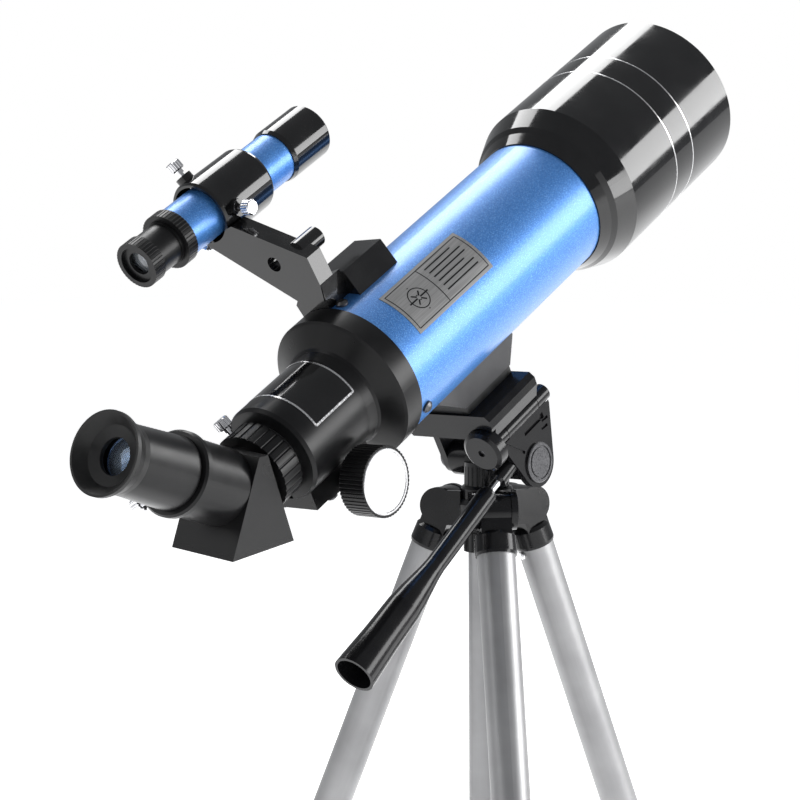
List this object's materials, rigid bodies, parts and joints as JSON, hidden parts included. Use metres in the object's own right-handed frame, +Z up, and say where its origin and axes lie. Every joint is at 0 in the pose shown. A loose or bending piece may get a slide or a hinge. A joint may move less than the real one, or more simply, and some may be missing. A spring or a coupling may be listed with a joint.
{
  "type": "tripod telescope",
  "caption": "Small refracting telescope with an angled eyepiece, side finder and focus knobs, on a pan and tilt head over a folding tripod with telescoping legs.",
  "frame": {"origin": "on the floor, under the middle of the bounding box of the whole object", "axes": "+Z up, the tube heads along +Y and tips up towards it, +X to the right when looking along +Y"},
  "size_m": [0.3012, 0.4912, 0.6349],
  "materials": {
    "blue_metal": "metallic gloss",
    "gloss_black": "gloss",
    "satin_black": "satin",
    "head_plastic": "satin",
    "grey_casting": "satin",
    "leg_aluminium": "satin",
    "bright_chrome": "bright",
    "dark_steel": "blackened",
    "dull_tube": "matt",
    "optical_glass": "coated",
    "soft_rubber": "matt"
  },
  "bodies": {
    "tripod_crown": {"crown": "head_plastic", "leg_pins": "dark_steel"},
    "column": {"centre_column": "leg_aluminium", "column_plugs": "head_plastic"},
    "column_lock": {"column_lock_ring": "head_plastic"},
    "pan_head": {"pan_body": "head_plastic"},
    "tilt_head": {"tilt_frame": "head_plastic", "head_pins": "dark_steel"},
    "handle": {"handle_rod": "bright_chrome", "handle_grip": "head_plastic"},
    "flip_lock": {"flip_knob": "head_plastic"},
    "telescope": {"platform": "head_plastic", "platform_pad": "soft_rubber", "mounting_foot": "grey_casting", "main_tube": "blue_metal", "front_cell": "gloss_black", "dew_shield": "gloss_black", "objective_lenses": "optical_glass", "lens_ring": "dull_tube", "focuser_body": "satin_black", "pinion_cover": "satin_black", "body_screws": "dark_steel", "finder_bracket": "gloss_black", "finder_tube": "blue_metal", "finder_hood": "gloss_black", "finder_objective": "optical_glass"},
    "platform_bolt": {"platform_screw": "head_plastic"},
    "focus_pinion": {"pinion_shaft": "dark_steel", "focus_knob_right": "satin_black", "focus_knob_left": "satin_black"},
    "focus_drawtube": {"drawtube": "dull_tube", "drawtube_nut": "satin_black"},
    "diagonal": {"diagonal_housing": "satin_black", "diagonal_cover": "satin_black", "diagonal_prism": "optical_glass"},
    "diagonal_clamp": {"diagonal_screw": "bright_chrome"},
    "eyepiece_clamp": {"eyepiece_screw": "bright_chrome"},
    "eyepiece": {"eyepiece_body": "satin_black", "eyecup": "soft_rubber", "eyepiece_lenses": "optical_glass"},
    "finder_ring": {"finder_focus_ring": "satin_black"},
    "finder_ocular": {"finder_eyepiece": "satin_black"},
    "leg_1": {"leg_1_cap": "head_plastic", "leg_1_upper_tube": "leg_aluminium"},
    "leg_1_lock": {"leg_1_lock_ring": "head_plastic"},
    "leg_1_lower": {"leg_1_lower_tube": "leg_aluminium", "leg_1_foot": "soft_rubber"},
    "finder_adjuster_1": {"finder_screw_1": "bright_chrome"},
    "leg_2": {"leg_2_cap": "head_plastic", "leg_2_upper_tube": "leg_aluminium"},
    "leg_2_lock": {"leg_2_lock_ring": "head_plastic"},
    "leg_2_lower": {"leg_2_lower_tube": "leg_aluminium", "leg_2_foot": "soft_rubber"},
    "finder_adjuster_2": {"finder_screw_2": "bright_chrome"},
    "leg_3": {"leg_3_cap": "head_plastic", "leg_3_upper_tube": "leg_aluminium"},
    "leg_3_lock": {"leg_3_lock_ring": "head_plastic"},
    "leg_3_lower": {"leg_3_lower_tube": "leg_aluminium", "leg_3_foot": "soft_rubber"},
    "finder_adjuster_3": {"finder_screw_3": "bright_chrome"}
  },
  "joints": [
    {"name": "leg_1_fold", "type": "hinge", "parent": "tripod_crown", "child": "leg_1", "pos_m": [0.0379, 0.0371, 0.35968], "axis": [0.6928, 0.7212, 0], "range_deg": [0, 22.05]},
    {"name": "leg_1_twist_lock", "type": "hinge", "parent": "leg_1", "child": "leg_1_lock", "pos_m": [0.13131, -0.05263, 0.03992], "axis": [0.2707, -0.2601, -0.9269], "range_deg": [0, 90]},
    {"name": "leg_1_extend", "type": "slide", "parent": "leg_1", "child": "leg_1_lower", "axis": [0.2707, -0.2601, -0.9269], "range_m": [0, 0.24]},
    {"name": "leg_2_fold", "type": "hinge", "parent": "tripod_crown", "child": "leg_2", "pos_m": [0.02591, 0.07852, 0.35968], "axis": [-0.9709, 0.2394, 0], "range_deg": [0, 22.05]},
    {"name": "leg_2_twist_lock", "type": "hinge", "parent": "leg_2", "child": "leg_2_lock", "pos_m": [0.05691, 0.20427, 0.03992], "axis": [0.0899, 0.3645, -0.9269], "range_deg": [0, 90]},
    {"name": "leg_2_extend", "type": "slide", "parent": "leg_2", "child": "leg_2_lower", "axis": [0.0899, 0.3645, -0.9269], "range_m": [0, 0.24]},
    {"name": "leg_3_fold", "type": "hinge", "parent": "tripod_crown", "child": "leg_3", "pos_m": [-0.00397, 0.04742, 0.35968], "axis": [0.2782, -0.9605, 0], "range_deg": [0, 22.05]},
    {"name": "leg_3_twist_lock", "type": "hinge", "parent": "leg_3", "child": "leg_3_lock", "pos_m": [-0.12838, 0.01139, 0.03992], "axis": [-0.3606, -0.1044, -0.9269], "range_deg": [0, 90]},
    {"name": "leg_3_extend", "type": "slide", "parent": "leg_3", "child": "leg_3_lower", "axis": [-0.3606, -0.1044, -0.9269], "range_m": [0, 0.24]},
    {"name": "column_lift", "type": "slide", "parent": "tripod_crown", "child": "column", "axis": [0, 0, 1], "range_m": [0, 0.15]},
    {"name": "column_twist_lock", "type": "hinge", "parent": "tripod_crown", "child": "column_lock", "pos_m": [0.01995, 0.05435, 0.34018], "axis": [0, 0, 1], "range_deg": [0, 90]},
    {"name": "head_pan", "type": "hinge", "parent": "column", "child": "pan_head", "pos_m": [0.01995, 0.05435, 0.37518], "axis": [0, 0, 1], "continuous": true},
    {"name": "head_tilt", "type": "hinge", "parent": "pan_head", "child": "tilt_head", "pos_m": [0.01995, 0.06215, 0.38518], "axis": [1, 0, 0], "range_deg": [-75, 5]},
    {"name": "handle_twist", "type": "hinge", "parent": "tilt_head", "child": "handle", "pos_m": [0.04495, 0.02211, 0.37], "axis": [0, -0.8059, -0.592], "range_deg": [0, 180]},
    {"name": "flip_knob_turn", "type": "hinge", "parent": "tilt_head", "child": "flip_lock", "pos_m": [0.04595, 0.02015, 0.3952], "axis": [0, -0.875, -0.484], "range_deg": [0, 540]},
    {"name": "portrait_flip", "type": "hinge", "parent": "tilt_head", "child": "telescope", "pos_m": [0.04595, 0.04727, 0.41021], "axis": [0, 0.875, 0.484], "range_deg": [0, 90]},
    {"name": "platform_screw_turn", "type": "hinge", "parent": "telescope", "child": "platform_bolt", "pos_m": [0.01995, 0.03636, 0.4196], "axis": [0, -0.484, 0.875], "range_deg": [-1080, 0]},
    {"name": "focus", "type": "hinge", "parent": "telescope", "child": "focus_pinion", "pos_m": [0.01995, -0.08205, 0.38781], "axis": [1, 0, 0], "range_deg": [0, 578]},
    {"name": "drawtube_travel", "type": "slide", "parent": "telescope", "child": "focus_drawtube", "axis": [0, -0.875, -0.484], "range_m": [0, 0.0605]},
    {"name": "diagonal_turn", "type": "hinge", "parent": "focus_drawtube", "child": "diagonal", "pos_m": [0.01995, -0.13444, 0.39369], "axis": [0, 0.875, 0.484], "continuous": true},
    {"name": "diagonal_screw_turn", "type": "hinge", "parent": "focus_drawtube", "child": "diagonal_clamp", "pos_m": [0.01056, -0.13773, 0.41205], "axis": [-0.4695, -0.4274, 0.7726], "range_deg": [0, 540]},
    {"name": "eyepiece_screw_turn", "type": "hinge", "parent": "diagonal", "child": "eyepiece_clamp", "pos_m": [0.00708, -0.19039, 0.38664], "axis": [-0.8157, -0.2245, -0.5331], "range_deg": [0, 540]},
    {"name": "eyepiece_pull", "type": "slide", "parent": "diagonal", "child": "eyepiece", "axis": [0.0862, -0.9585, 0.2719], "range_m": [0, 0.02]},
    {"name": "finder_screw_1_turn", "type": "hinge", "parent": "telescope", "child": "finder_adjuster_1", "pos_m": [-0.02605, -0.09438, 0.52476], "axis": [1, 0, 0], "range_deg": [-360, 360]},
    {"name": "finder_screw_2_turn", "type": "hinge", "parent": "telescope", "child": "finder_adjuster_2", "pos_m": [-0.05605, -0.10276, 0.53992], "axis": [-0.5, -0.4192, 0.7578], "range_deg": [-360, 360]},
    {"name": "finder_screw_3_turn", "type": "hinge", "parent": "telescope", "child": "finder_adjuster_3", "pos_m": [-0.05605, -0.08599, 0.5096], "axis": [-0.5, 0.4192, -0.7578], "range_deg": [-360, 360]},
    {"name": "finder_ring_turn", "type": "hinge", "parent": "telescope", "child": "finder_ring", "pos_m": [-0.04605, -0.12281, 0.50903], "axis": [0, -0.875, -0.484], "range_deg": [0, 90]},
    {"name": "finder_ocular_turn", "type": "hinge", "parent": "telescope", "child": "finder_ocular", "pos_m": [-0.04605, -0.13681, 0.50128], "axis": [0, -0.875, -0.484], "range_deg": [-180, 180]}
  ],
  "couplings": [
    {"joint": "focus", "follows": "drawtube_travel", "rad_per_m": 166.67}
  ]
}
